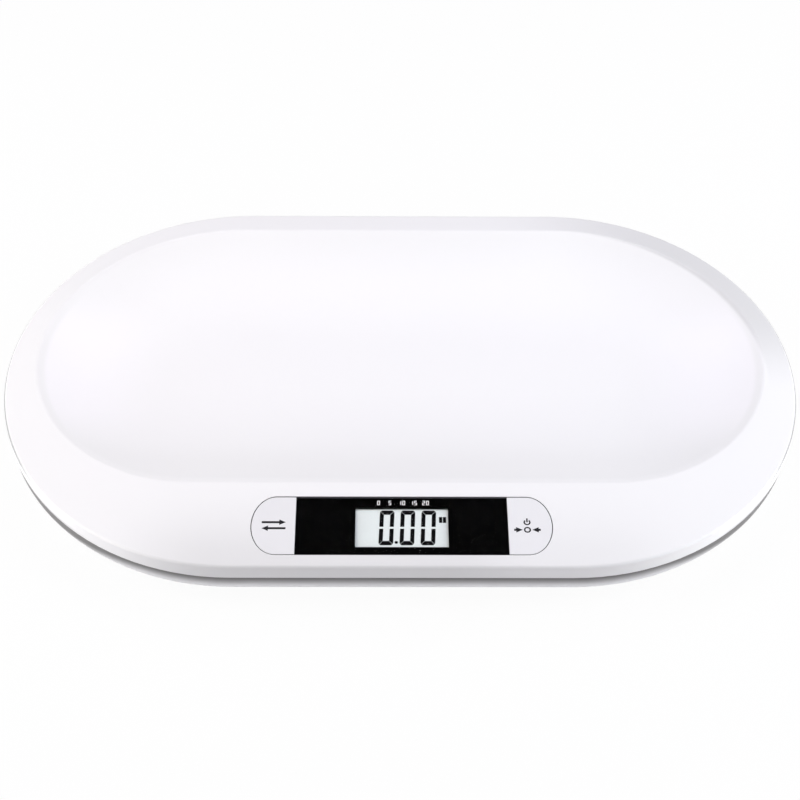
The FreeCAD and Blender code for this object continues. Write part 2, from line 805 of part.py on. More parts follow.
def battery_contacts():
    """Plates on the end walls: bridges join cells in pairs, single ones carry the leads."""
    rows = cell_rows()
    groups = {-1: [[0], [1, 2], [3]], 1: [[0, 1], [2, 3]]}
    wall = box_x / 2 - contact_sheet / 2 - contact_seat
    plates = []
    for side, pairs in groups.items():
        for members in pairs:
            y_middle = sum(rows[i][0] for i in members) / len(members)
            width = cell_pitch * (len(members) - 1) + contact_width
            plate = block(contact_sheet, width, z_floor_top + contact_foot_gap,
                          z_box_roof - contact_head_gap, wall, y_middle)
            leaves = []
            for i in members:
                y, sign = rows[i]
                nub = cell_nub_length if sign == side else 0.0
                end = cell_length / 2 + nub
                leaves.append(contact_leaf(wall - contact_sheet / 2 - end - contact_touch, y))
            contact = union([plate] + leaves)
            plates.append(contact if side > 0 else mirrored_x(contact))
    return Part.makeCompound(plates)


def battery_lead_places():
    """Over the two outer cells' contacts on the left wall."""
    x = contact_sheet / 2 + contact_seat - box_x / 2
    reach = (cell_count - 1) * cell_pitch / 2
    return [(x, battery_y - reach), (x, battery_y + reach - battery_lead_inset)]


def battery_leads():
    """Two short stiff leads from the contacts up through the roof to the board's underside."""
    leads = []
    for x, y in battery_lead_places():
        under_board = (panel_origin.z + (y - panel_origin.y) * math.tan(deck_tilt)
                       - (board_drop + board_thickness) / math.cos(deck_tilt))
        leads.append(rod(lead_radius, z_box_roof - lead_root, under_board - lead_lift, x, y))
    return Part.makeCompound(leads)


# ---- feet and load cells, drawn about the foot's own axis ----
z_cap_top = z_base - cap_top_gap


def foot_pad():
    return revolved([(0, 0), (pad_radius - pad_chamfer, 0), (pad_radius, pad_chamfer),
                     (pad_radius, pad_thickness), (0, pad_thickness)])


def foot_cap():
    """Disc with a neck of three sprung fingers that hook over the base's floor."""
    hook_low = z_floor_top + foot_play + hook_gap
    boss_top = z_seat - cell_touch
    profile = [
        (0, pad_thickness), (cap_radius - cap_chamfer, pad_thickness),
        (cap_radius, pad_thickness + cap_chamfer),
        (cap_radius, z_cap_top), (neck_radius, z_cap_top), (neck_radius, hook_low),
        (neck_radius + hook_reach, hook_low), (neck_radius, hook_low + hook_height),
        (neck_radius - neck_wall, hook_low + hook_height),
        (neck_radius - neck_wall, z_cap_top - cap_roof),
        (boss_radius, z_cap_top - cap_roof), (boss_radius, boss_top), (0, boss_top),
    ]
    body = revolved(profile)
    slot = block(2 * (neck_wall + hook_reach), finger_slot, z_cap_top + finger_root,
                 hook_low + hook_height + PAST, neck_radius, 0)
    slots = []
    for turn in (0, 120, 240):
        copy = slot.copy()
        copy.rotate(V(0, 0, 0), UP, turn)
        slots.append(copy)
    return body.cut(slots)


def load_cell():
    """Stamped steel square; a U-shaped slot frees a tongue that bends under load."""
    plate = block(load_cell_side, load_cell_side, z_seat, z_load_cell_top)
    plate = plate.makeFillet(load_cell_corner, upright_edges(plate))
    low, high = z_seat - PAST, z_load_cell_top + PAST
    outer = block(tongue_length + tongue_slot, tongue_width + 2 * tongue_slot, low, high,
                  tongue_slot / 2, 0)
    tongue = block(tongue_length, tongue_width, low, high, 0, 0)
    return plate.cut(outer.cut(tongue))


def strain_gauge():
    x_size, y_size, height = gauge_size
    return block(x_size, y_size, z_load_cell_top, z_load_cell_top + height, gauge_offset, 0)


def load_cell_cover():
    """Cover that presses the load cell's frame onto its seat, screwed to two posts."""
    sheet_low = z_load_cell_top
    ear = retainer_post_radius + retainer_margin
    plate = block(retainer_width, load_cell_side + 2 * retainer_overhang, sheet_low,
                  z_retainer_top)
    bar = block(2 * ear, 2 * (retainer_post_y + ear), sheet_low, z_retainer_top)
    window = block(retainer_window, retainer_window, sheet_low - PAST, z_retainer_top + PAST)
    body = union([plate, bar]).cut(window)
    body = body.makeFillet(retainer_margin, [e for e in upright_edges(body)
                                             if abs(e.BoundBox.YMax) > load_cell_side / 2])
    holes = [rod(retainer_screw_radius + retainer_hole_gap, sheet_low - PAST,
                 z_retainer_top + PAST, 0, s * retainer_post_y) for s in (-1, 1)]
    notch = block(retainer_width / 2, 2 * (lead_radius + lead_slack), sheet_low - PAST,
                  z_retainer_top + PAST, -retainer_width / 2, 0)
    return body.cut(holes + [notch])


def retainer_screws():
    screws = []
    for x, y in foot_places().values():
        for side in (-1, 1):
            place = (x, y + side * retainer_post_y)
            head = rod(retainer_head_radius, z_retainer_top,
                       z_retainer_top + retainer_head_height, *place)
            shank = rod(retainer_screw_radius, z_retainer_top - retainer_screw_length,
                        z_retainer_top, *place)
            screws.append(head.fuse(shank).removeSplitter())
    return Part.makeCompound(screws)


def shell_screws():
    screws = []
    seat = z_join - boss_gap - shell_web
    for x, y in shell_screw_places():
        head = rod(shell_head_radius, seat - shell_head_height, seat, x, y)
        shank = rod(shell_pilot_radius - screw_clearance, seat,
                    seat + shell_screw_length - screw_end_gap, x, y)
        low = seat - shell_head_height
        cross = [block(*sides, low - PAST, low + cross_depth, x, y)
                 for sides in ((cross_length, cross_width), (cross_width, cross_length))]
        screws.append(head.fuse(shank).removeSplitter().cut(cross))
    return Part.makeCompound(screws)


# ---- wiring ----
def sensor_lead(x, y):
    """A right-hand load cell's lead: off the gauge, down to the floor and up to its socket."""
    z_gauge = z_load_cell_top + lead_radius + lead_lift
    z_run = z_floor_top + lead_radius + lead_lift
    start = x + gauge_offset - gauge_size[0] / 2
    plug = panel_place.multVec(
        V(socket_x + socket_size[0] / 2, socket_y, -board_drop - board_thickness
          - socket_size[2] / 2))
    plug_y = plug.y + (lead_spacing / 2 if y > 0 else -lead_spacing / 2)
    points = [V(start, y, z_gauge), V(start - 17, y, z_gauge)]
    if y > 0:
        points += [V(x - 46, y - 14, z_run), V(x - 62, y - 56, z_run),
                   V(x - 63, -y + 28, z_run)]
    else:
        points += [V(x - 46, y - 3, z_run), V(x - 66, y - 10, z_run)]
    points += [V(plug.x + 14, plug_y, plug.z), V(plug.x, plug_y, plug.z)]
    return tube(points, lead_radius)


# ---- write the parts ----
def save(name, shape):
    shape.exportStep("parts/%s.step" % name)


def main():
    os.makedirs("parts", exist_ok=True)
    save("tray", tray())
    save("display_lens", display_lens())
    save("display_mask", display_mask())
    key, plunger = right_key(), right_plunger()
    save("tare_key", on_panel(key))
    save("unit_key", on_panel(mirrored_x(key)))
    save("tare_switch_plunger", on_panel(plunger))
    save("unit_switch_plunger", on_panel(mirrored_x(plunger)))
    save("key_switches", key_switches())
    save("main_board", main_board())
    save("board_screws", board_screws())
    save("lcd_glass", lcd_glass())
    save("lcd_holder", lcd_holder())
    save("zebra_strips", zebra_strips())
    save("board_parts", board_parts())
    save("lead_sockets", lead_sockets())
    save("base_shell", base_shell())
    save("battery_door", battery_door())
    save("battery_cells", battery_cells())
    save("battery_contacts", battery_contacts())
    pad, cap, cell, cover = foot_pad(), foot_cap(), load_cell(), load_cell_cover()
    gauges = []
    for name, (x, y) in foot_places().items():
        right = [cell, cover, strain_gauge()]
        sided = right if x > 0 else [mirrored_x(s) for s in right]
        save("foot_pad_" + name, moved(pad, x, y))
        save("foot_cap_" + name, moved(cap, x, y))
        save("load_cell_" + name, moved(sided[0], x, y))
        save("load_cell_cover_" + name, moved(sided[1], x, y))
        gauges.append(moved(sided[2], x, y))
        lead = sensor_lead(abs(x), y)
        save("sensor_lead_" + name, lead if x > 0 else mirrored_x(lead))
    save("strain_gauges", Part.makeCompound(gauges))
    save("battery_leads", battery_leads())
    save("retainer_screws", retainer_screws())
    save("shell_screws", shell_screws())


main()
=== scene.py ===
import json
import math

import bmesh
import bpy
from mathutils import Matrix, Vector


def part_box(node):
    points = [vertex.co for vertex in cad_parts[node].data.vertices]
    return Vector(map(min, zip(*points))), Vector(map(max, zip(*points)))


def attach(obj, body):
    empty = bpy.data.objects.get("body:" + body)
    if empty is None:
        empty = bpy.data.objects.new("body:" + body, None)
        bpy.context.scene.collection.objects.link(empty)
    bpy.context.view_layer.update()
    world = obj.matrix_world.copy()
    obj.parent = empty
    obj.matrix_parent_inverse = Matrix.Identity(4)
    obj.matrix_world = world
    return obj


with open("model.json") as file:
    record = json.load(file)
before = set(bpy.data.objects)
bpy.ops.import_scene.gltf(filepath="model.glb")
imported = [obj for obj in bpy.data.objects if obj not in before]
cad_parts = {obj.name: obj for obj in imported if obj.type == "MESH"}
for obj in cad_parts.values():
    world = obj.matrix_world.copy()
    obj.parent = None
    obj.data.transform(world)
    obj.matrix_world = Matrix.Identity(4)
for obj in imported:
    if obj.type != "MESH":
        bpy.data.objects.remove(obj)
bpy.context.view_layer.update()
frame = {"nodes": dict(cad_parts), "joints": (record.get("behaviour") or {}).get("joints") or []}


# ---- Camera ----
# The scale is seen from above its front edge, a little to the left, through a lens long
# enough to keep the outline's sides nearly parallel. All lengths are in metres.
aim = Vector((-0.00067, -0.02287, 0.039))
camera_distance = 1.2
height_angle, side_angle, roll = (math.radians(degrees) for degrees in (48.44, -0.79, 0.71))
towards = Vector((math.sin(side_angle) * math.cos(height_angle),
                  -math.cos(side_angle) * math.cos(height_angle),
                  math.sin(height_angle)))
level = Vector((math.cos(side_angle), math.sin(side_angle), 0))
right = (Matrix.Rotation(-roll, 3, -towards) @ level).normalized()
camera = bpy.data.objects.new("camera", bpy.data.cameras.new("camera"))
bpy.context.scene.collection.objects.link(camera)
camera.matrix_world = (Matrix.Translation(aim + camera_distance * towards)
                       @ Matrix((right, towards.cross(right), towards)).transposed().to_4x4())
camera.data.sensor_width = 36
camera.data.lens = 78.3
camera.data.clip_end = 30
bpy.context.scene.camera = camera


# ---- Base shell and battery door ----
# Injection-moulded white ABS with a fine matt spark-eroded texture, recessed under the tray so
# that a shadow line shows. Painted shade darkens its wall under the overhang, fading towards the
# bottom. The battery door is moulded from the same material.
class Reading:
    """A value or colour that changes over a surface; arithmetic on it adds Math nodes."""

    def __init__(self, finish, socket):
        self.finish, self.socket = finish, socket

    def maths(self, operation, first, second):
        return self.finish.add("ShaderNodeMath", {"operation": operation}, {0: first, 1: second})

    def __add__(self, other):
        return self.maths("ADD", self, other)

    def __sub__(self, other):
        return self.maths("SUBTRACT", self, other)

    def __rsub__(self, other):
        return self.maths("SUBTRACT", other, self)

    def __mul__(self, other):
        return self.maths("MULTIPLY", self, other)

    __radd__, __rmul__ = __add__, __mul__

    def at_least(self, floor):
        return self.maths("MAXIMUM", self, floor)

    def size(self):
        """Its value without its sign."""
        return self.maths("ABSOLUTE", self, 0.0)

    def root(self):
        return self.maths("SQRT", self, 0.0)

    def ease(self, start, end):
        """Smoothly from 0 at start to 1 at end."""
        return self.finish.add("ShaderNodeMapRange", {"interpolation_type": "SMOOTHSTEP"},
                               {"Value": self, "From Min": start, "From Max": end})


class Finish:
    """A surface finish: a material with one main shader and the nodes that feed it.

    A world can take the place of the material.
    """

    def __init__(self, name, world=None):
        self.material = world or bpy.data.materials.new(name)
        self.material.use_nodes = True
        self.tree = self.material.node_tree
        self.tree.nodes.clear()
        self.output = self.tree.nodes.new(
            "ShaderNodeOutputWorld" if world else "ShaderNodeOutputMaterial")
        self.shader = None

    def add(self, kind, settings=None, values=None, output=0):
        """A node of one kind, with its settings and the values or links of its sockets."""
        node = self.tree.nodes.new(kind)
        for name, value in (settings or {}).items():
            setattr(node, name, value)
        for socket, value in (values or {}).items():
            self.feed(node.inputs[socket], value)
        return Reading(self, node.outputs[output])

    def feed(self, socket, value):
        if isinstance(value, Reading):
            self.tree.links.new(value.socket, socket)
        else:
            socket.default_value = value

    def principled(self, **values):
        """Shows a Principled shader; base_color=... feeds the socket Base Color, and so on."""
        return self.show(self.add("ShaderNodeBsdfPrincipled", values={
            name.replace("_", " ").title().replace("Ior", "IOR"): v for name, v in values.items()}))

    def show(self, shader):
        """Makes a shader the one that the surface shows."""
        self.shader = shader
        self.tree.links.new(shader.socket, self.output.inputs["Surface"])
        return self

    def place(self):
        """Position on the piece, in metres; it moves with the piece."""
        return self.add("ShaderNodeTexCoord", output="Object")

    def place_parts(self):
        """The same as three readings: across to the right, back and up."""
        split = self.add("ShaderNodeSeparateXYZ", values={0: self.place()}).socket.node
        return [Reading(self, split.outputs[i]) for i in range(3)]

    def seen_directly(self):
        """1 where a camera, a reflection or a clear piece looks at it, 0 for the light it gives."""
        path = self.add("ShaderNodeLightPath").socket.node
        rays = [Reading(self, path.outputs[kind])
                for kind in ("Is Camera Ray", "Is Glossy Ray", "Is Transmission Ray")]
        return rays[0] + rays[1] + rays[2]

    def speckle(self, scale, detail=2.0):
        """Smooth random value from 0 to 1, with about scale patches to a metre."""
        return self.add("ShaderNodeTexNoise", values={
            "Vector": self.place(), "Scale": scale, "Detail": detail})

    def blend(self, amount, first, second):
        """From one colour to another."""
        return self.add("ShaderNodeMix", {"data_type": "RGBA"},
                        {0: amount, 6: first, 7: second}, output=2)

    def bump(self, height, strength, distance):
        return self.add("ShaderNodeBump", values={
            "Height": height, "Strength": strength, "Distance": distance})


drift_scale, handling_scale, texture_scale = 9.0, 60.0, 2400.0
texture_height, texture_strength = 0.00002, 0.5


def moulded(name, pale, deep, roughness, grain=texture_scale, grain_height=texture_height,
            shine=0.5):
    """A thermoplastic moulding or a print: faint colour drift, fine grain and uneven gloss."""
    finish = Finish(name)
    drift = finish.speckle(drift_scale, 3.0)
    handling = finish.speckle(handling_scale, 4.0)
    texture = finish.speckle(grain)
    handling_gloss, texture_gloss = 0.08, 0.06
    lowest = roughness - (handling_gloss + texture_gloss) / 2
    return finish.principled(
        base_color=finish.blend(drift * 0.7 + handling * 0.3, (*pale, 1), (*deep, 1)),
        roughness=handling * handling_gloss + texture * texture_gloss + lowest,
        specular_ior_level=shine,
        normal=finish.bump(texture, texture_strength, grain_height)).material


def dress(node, material):
    """Puts a finish on a node made in the CAD model."""
    materials = frame["nodes"][node].data.materials
    materials.clear()
    materials.append(material)


shell_pale, shell_deep = (0.86, 0.86, 0.87), (0.82, 0.82, 0.835)
dress("battery_door", moulded("door_plastic", shell_pale, shell_deep, 0.42))

wall_shade_colour = (0.14, 0.135, 0.135)
shade_start_height, shade_full_height = 0.0163, 0.026  # heights where the painted shade starts and where it is darkest
end_start, end_full, end_drop = 0.16, 0.24, 0.006  # the painted shade reaches lower towards the two ends
shell_plastic = Finish("shell_plastic")
drift, texture = shell_plastic.speckle(drift_scale, 3.0), shell_plastic.speckle(texture_scale)
across, _, up = shell_plastic.place_parts()
shade_drop = across.size().ease(end_start, end_full) * end_drop
# Painted shade: the wall is darkened towards the overhang, with faint random patches.
painted_wall_shade = shell_plastic.speckle(40.0, 3.0) * 0.06 + (up + shade_drop).ease(shade_start_height, shade_full_height) * 0.95
unshaded_colour = shell_plastic.blend(drift, (*shell_pale, 1), (*shell_deep, 1))
shell_plastic.principled(base_color=shell_plastic.blend(painted_wall_shade, unshaded_colour, (*wall_shade_colour, 1)),
                         roughness=drift * 0.08 + 0.4,
                         normal=shell_plastic.bump(texture, texture_strength, texture_height))
dress("base_shell", shell_plastic.material)


# ---- Feet ----
# Grey moulded caps, each held in a hole of the base by three sprung hooks, with a black rubber
# pad bonded below. A boss in the middle of the cap bears on the foot's load cell.
foot_plastic = moulded("foot_plastic", (0.72, 0.72, 0.73), (0.68, 0.68, 0.69), 0.45)
foot_rubber = moulded("foot_rubber", (0.05, 0.05, 0.052), (0.035, 0.035, 0.036), 0.75,
                      grain=900, grain_height=0.00006)
corners = ("front_left", "front_right", "rear_left", "rear_right")
for corner in corners:
    dress("foot_cap_" + corner, foot_plastic)
    dress("foot_pad_" + corner, foot_rubber)


# ---- Load cells, their covers and leads ----
# Stamped nickel-plated steel squares with a potted gauge on the tongue, held down by moulded
# covers with two screws each. Thin stranded leads run from them to the board. The screws that
# join the base and the tray are of the same zinc-plated steel.
def plated(name, pale, deep, roughness):
    """Plated metal: fine grain and slightly clouded gloss."""
    finish = Finish(name)
    clouds = finish.speckle(120.0, 3.0)
    grain = finish.speckle(3200.0, 1.0)
    cloud_gloss, grain_gloss = 0.12, 0.1
    return finish.principled(
        base_color=finish.blend(clouds, (*pale, 1), (*deep, 1)), metallic=1.0,
        roughness=clouds * cloud_gloss + grain * grain_gloss + (roughness - 0.1),
        normal=finish.bump(grain, 0.3, 0.00001)).material


sensor_steel = plated("sensor_steel", (0.66, 0.65, 0.63), (0.56, 0.55, 0.54), 0.32)
screw_steel = plated("screw_steel", (0.62, 0.62, 0.64), (0.5, 0.5, 0.52), 0.35)
cover_plastic = moulded("cover_plastic", (0.7, 0.7, 0.71), (0.66, 0.66, 0.67), 0.5)
lead_rubber = moulded("lead_rubber", (0.3, 0.3, 0.32), (0.24, 0.24, 0.26), 0.55, grain=1500)
potting = moulded("potting", (0.8, 0.8, 0.78), (0.74, 0.74, 0.72), 0.4, grain=600)
for corner in corners:
    dress("load_cell_" + corner, sensor_steel)
    dress("load_cell_cover_" + corner, cover_plastic)
    dress("sensor_lead_" + corner, lead_rubber)
dress("strain_gauges", potting)
dress("retainer_screws", screw_steel)
dress("shell_screws", screw_steel)


# ---- Batteries ----
# Four AAA cells in plain dark sleeves lie side by side in the base, between sprung nickel
# contacts. Two short leads run from the contacts up to the board.
cell_sleeve = moulded("cell_sleeve", (0.1, 0.1, 0.11), (0.07, 0.07, 0.08), 0.3, grain=500)
contact_nickel = plated("contact_nickel", (0.75, 0.73, 0.69), (0.66, 0.64, 0.6), 0.25)
lead_red = moulded("lead_red", (0.45, 0.04, 0.04), (0.36, 0.03, 0.03), 0.5, grain=1500)
dress("battery_cells", cell_sleeve)
dress("battery_contacts", contact_nickel)
dress("battery_leads", lead_red)


# ---- Board and what it carries ----
# Green solder-masked laminate with black moulded parts, nylon sockets and push switches. Strips
# of layered rubber join it to the display, which sits in a black holder.
solder_mask = moulded("solder_mask", (0.03, 0.22, 0.1), (0.02, 0.16, 0.07), 0.35, grain=900)
black_moulding = moulded("black_moulding", (0.03, 0.03, 0.03), (0.02, 0.02, 0.02), 0.4)
nylon = moulded("nylon", (0.8, 0.79, 0.74), (0.74, 0.73, 0.68), 0.4)
layered_rubber = moulded("layered_rubber", (0.18, 0.18, 0.2), (0.1, 0.1, 0.11), 0.6, grain=4000)
dress("main_board", solder_mask)
for node in ("board_parts", "key_switches", "unit_switch_plunger", "tare_switch_plunger",
             "lcd_holder"):
    dress(node, black_moulding)
dress("lead_sockets", nylon)
dress("board_screws", screw_steel)
dress("zebra_strips", layered_rubber)


# ---- Liquid crystal display ----
# A reflective cell in pale grey-green. Its driven segments are thin dark shapes with hairline
# gaps at their mitred corners. It shows a weight of nothing, and two small bars beside it.
lcd = Finish("liquid_crystal")
cloud = lcd.speckle(45.0)
cells = lcd.speckle(3000.0, 1.0)
lcd.principled(base_color=lcd.blend(cloud, (0.84, 0.9, 0.885, 1), (0.8, 0.865, 0.855, 1)),
               roughness=cells * 0.1 + 0.3, normal=lcd.bump(cells, 0.2, 0.000005))
dress("lcd_glass", lcd.material)

press = Vector(next(j["axis"] for j in frame["joints"] if j["name"] == "tare_key_press"))
deck_up = -press.normalized()
deck_back = deck_up.cross(Vector((1, 0, 0))).normalized()


def deck_heights(node):
    """How far up each point of a node lies in the direction square to the deck."""
    return [vertex.co.dot(deck_up) for vertex in frame["nodes"][node].data.vertices]


lens_low, lens_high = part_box("display_lens")
lens_thickness = max(deck_heights("display_lens")) - min(deck_heights("display_lens"))
deck_middle = (lens_low + lens_high) / 2 + deck_up * lens_thickness / 2


def on_deck(across, along, rise):
    """A point by its distances from the middle of the window, in the deck's directions."""
    return deck_middle + Vector((across, 0, 0)) + deck_back * along + deck_up * rise


def print_shapes(name, outlines, low, high, material, body):
    """Flat shapes given as outlines in the deck's plane, raised from low to high."""
    mesh = bpy.data.meshes.new(name)
    build = bmesh.new()
    for outline in outlines:
        bottom = [build.verts.new(on_deck(x, y, low)) for x, y in outline]
        top = [build.verts.new(on_deck(x, y, high)) for x, y in outline]
        build.faces.new(top)
        build.faces.new(bottom[::-1])
        count = len(outline)
        for i in range(count):
            j = (i + 1) % count
            build.faces.new((bottom[i], bottom[j], top[j], top[i]))
    bmesh.ops.recalc_face_normals(build, faces=build.faces)
    build.to_mesh(mesh)
    build.free()
    piece = bpy.data.objects.new(name, mesh)
    bpy.context.scene.collection.objects.link(piece)
    mesh.materials.append(material)
    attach(piece, body)


def seven_segments(lit, left, bottom, width, height, upright, level, gap, middle_gap=0.0):
    """Outlines of the lit bars of one digit, mitred where they meet and cut off at its corners."""
    middle, half_level = height / 2, level / 2
    cut = 0.35 * level
    cut_in, cut_down, cut_foot = 0.3 * cut, 0.7 * cut, 1.6 * cut
    top = [(gap + cut, height), (width - gap - cut, height),
           (width - cut_in - gap, height - cut_down), (width - upright - gap, height - level),
           (upright + gap, height - level), (cut_in + gap, height - cut_down)]
    upper_left = [(0, height - gap - cut_foot), (cut_in, height - gap - cut_down),
                  (upright, height - level - gap), (upright, middle + middle_gap),
                  (0, middle + middle_gap)]
    shapes = {
        "top": top,
        "bottom": [(x, height - y) for x, y in top],
        "upper_left": upper_left,
        "lower_left": [(x, height - y) for x, y in upper_left],
        "upper_right": [(width - x, y) for x, y in upper_left],
        "lower_right": [(width - x, height - y) for x, y in upper_left],
        "middle": [(gap, middle), (half_level, middle + half_level),
                   (width - half_level, middle + half_level), (width - gap, middle),
                   (width - half_level, middle - half_level), (half_level, middle - half_level)],
    }
    return [[(left + x + slant * y, bottom + y) for x, y in shapes[name]] for name in lit]


def arc(x, y, radius, start, end, steps=24):
    """Points round a circle between two angles given in degrees."""
    angles = [math.radians(start + (end - start) * i / steps) for i in range(steps + 1)]
    return [(x + radius * math.cos(a), y + radius * math.sin(a)) for a in angles]


def oblong(left, bottom, width, height):
    return [(left, bottom), (left + width, bottom), (left + width, bottom + height),
            (left, bottom + height)]


bars_lit = {
    0: ("top", "bottom", "upper_left", "lower_left", "upper_right", "lower_right"),
    1: ("upper_right", "lower_right"),
    2: ("top", "upper_right", "middle", "lower_left", "bottom"),
    5: ("top", "upper_left", "middle", "lower_right", "bottom"),
}
slant = 0.038
digit_width, digit_height, digit_pitch = 0.00945, 0.0276, 0.01358
digits_left, digits_bottom = -0.01515, -0.0138
bar, level_bar, hairline, middle_gap = 0.00265, 0.0033, 0.00016, 0.0008
segments = []
for place in range(3):
    segments += seven_segments(bars_lit[0], digits_left + place * digit_pitch, digits_bottom,
                               digit_width, digit_height, bar, level_bar, hairline, middle_gap)

point_radius, point_right, point_lift = 0.0011, 0.0021, 0.0022
segments.append(arc(digits_left + digit_width + point_right, digits_bottom + point_lift,
                    point_radius, 0, 345))  # its last side closes the circle
mark_width, mark_height, marks_bottom = 0.0021, 0.0046, 0.004
for mark_left in (0.0243, 0.0268):
    segments.append(oblong(mark_left, marks_bottom, mark_width, mark_height))

lcd_top = max(deck_heights("lcd_glass")) - deck_middle.dot(deck_up)
crystal_low, crystal_high = lcd_top + 0.00002, lcd_top + 0.00008
dark_crystal = moulded("dark_crystal", (0.003, 0.003, 0.0035), (0.0015, 0.0015, 0.002), 0.5,
                       grain=3000, grain_height=0.000004, shine=0.02)
print_shapes("lcd_segments", segments, crystal_low, crystal_high, dark_crystal, "housing")


# ---- Display window ----
# Clear acrylic, back-printed in deep black around the display's opening. A row of plain
# numbers is printed in white above the opening.
clear = Finish("clear_acrylic")
smears = clear.speckle(70.0, 3.0)
clear.principled(base_color=clear.blend(smears, (0.003, 0.003, 0.003, 1), (0.006, 0.006, 0.006, 1)),
                 roughness=smears * 0.05 + 0.03, alpha=smears * 0.008 + 0.015,
                 specular_ior_level=0.35)
dress("display_lens", clear.material)

ink = Finish("black_ink")
pinholes = ink.speckle(2600.0)
ink.principled(base_color=ink.blend(pinholes, (0.0004, 0.0004, 0.0004, 1),
                                    (0.001, 0.001, 0.001, 1)),
               roughness=pinholes * 0.1 + 0.5, specular_ior_level=0.005)
dress("display_mask", ink.material)

white_ink = moulded("white_ink", (0.86, 0.86, 0.86), (0.76, 0.76, 0.76), 0.5,
                    grain=3500, grain_height=0.000004)
number_width, number_height, number_bar, number_gap = 0.0019, 0.0036, 0.0006, 0.00001
number_space, numbers_bottom = 0.0006, 0.0171
number_middles = {(0,): -0.0152, (5,): -0.0078, (1, 0): 0.0, (1, 5): 0.0078, (2, 0): 0.0156}
numbers = []
for digits, middle in number_middles.items():
    pitch = number_width + number_space
    start = middle - (pitch * len(digits) - number_space) / 2
    for i, digit in enumerate(digits):
        numbers += seven_segments(bars_lit[digit], start + i * pitch, numbers_bottom, number_width,
                                  number_height, number_bar, number_bar, number_gap)
number_low, number_high = -lens_thickness + 0.00002, -lens_thickness + 0.00006
print_shapes("window_numbers", numbers, number_low, number_high, white_ink, "housing")


# ---- Keys ----
# Two D-shaped keys in satin white ABS, flush with the deck and the window, pad-printed with
# plain signs: an arrow pair on the left, a power sign over a zero sign on the right. Painted
# shade darkens the joint round them, and the left one is a little greyer.
# Colour of the painted shade on the keys and on the tray.
shade_colour = (0.05, 0.05, 0.055)
joint_shade_start, joint_shade_full = 0.0002, 0.0008


def joint_shade(finish):
    """Painted shade: from 0 at the deck's face to 1 down in the joint round the keys and the
    window.
    """
    from_middle = finish.add("ShaderNodeVectorMath", {"operation": "SUBTRACT"},
                             {0: finish.place(), 1: deck_middle})
    depth = finish.add("ShaderNodeVectorMath", {"operation": "DOT_PRODUCT"},
                       {0: from_middle, 1: -deck_up}, output=1)
    return depth.ease(joint_shade_start, joint_shade_full)


key_plastic = Finish("key_plastic")
across = key_plastic.place_parts()[0]
# Painted shade in the joint round the key; the left key is also a little greyer.
painted_shade = joint_shade(key_plastic) + across.ease(0.03, -0.03) * 0.02
drift, grain = key_plastic.speckle(handling_scale, 3.0), key_plastic.speckle(700.0)
unshaded_colour = key_plastic.blend(drift, (0.81, 0.81, 0.828, 1), (0.785, 0.785, 0.802, 1))
key_plastic.principled(base_color=key_plastic.blend(painted_shade, unshaded_colour, (*shade_colour, 1)),
                       roughness=drift * 0.08 + grain * 0.06 + 0.29,
                       normal=key_plastic.bump(grain, 0.5, 0.000004))
dress("unit_key", key_plastic.material)
dress("tare_key", key_plastic.material)

key_ink = moulded("key_ink", (0.008, 0.008, 0.01), (0.014, 0.014, 0.016), 0.5,
                  grain=3500, grain_height=0.000004, shine=0.1)
print_low, print_high = 0.00001, 0.00005
line, head_length, head_half = 0.0016, 0.0042, 0.0021


def arrow(tail, tip, y):
    """A level arrow from tail to tip, pointing whichever way the tip lies."""
    way = 1 if tip > tail else -1
    neck = tip - way * head_length
    return [(tail, y - line / 2), (neck, y - line / 2), (neck, y - head_half), (tip, y),
            (neck, y + head_half), (neck, y + line / 2), (tail, y + line / 2)]


unit_middle, swap_reach, swap_apart = -0.083, 0.0078, 0.0024
swap_sign = [arrow(unit_middle - way * swap_reach, unit_middle + way * swap_reach, way * swap_apart)
             for way in (1, -1)]
print_shapes("unit_sign", swap_sign, print_low, print_high, key_ink, "unit_button")

tare_middle, power_y, zero_y = 0.0813, 0.0026, -0.0034
ring, ring_line, stroke = 0.0023, 0.00095, 0.0031
open_from, open_to = 50, 130  # degrees of the power sign's ring that are left open for its stroke
power_sign = [arc(tare_middle, power_y, ring, open_to, open_from + 360)
              + arc(tare_middle, power_y, ring - ring_line, open_from + 360, open_to),
              oblong(tare_middle - ring_line / 2, power_y, ring_line, stroke)]
zero_sign = [arc(tare_middle, zero_y, ring, start, start + 180)
             + arc(tare_middle, zero_y, ring - ring_line, start + 180, start)
             for start in (90, -90)]
tail_out, tip_out = 0.0086, 0.0031
zero_sign += [arrow(tare_middle + side * tail_out, tare_middle + side * tip_out, zero_y)
              for side in (-1, 1)]
print_shapes("tare_sign", power_sign + zero_sign, print_low, print_high, key_ink, "tare_button")


# ---- Tray ----
# One glossy white ABS moulding: basin, sloping rim, front deck and upright lip. Painted shade
# darkens the deck round the keys and towards the lip, the top and foot edges of the lip's ends,
# the rim at the back and the right, the basin's front slope and the joint round the window;
# painted light makes the basin's ends the whitest.
tray_plastic = Finish("tray_plastic")
across, back, up = tray_plastic.place_parts()
sideways = across.size()
end_radius, half_straight = 0.165, 0.110
beyond = (sideways - half_straight).at_least(0.0)
inward = end_radius - (beyond * beyond + back * back).root()  # from the outline

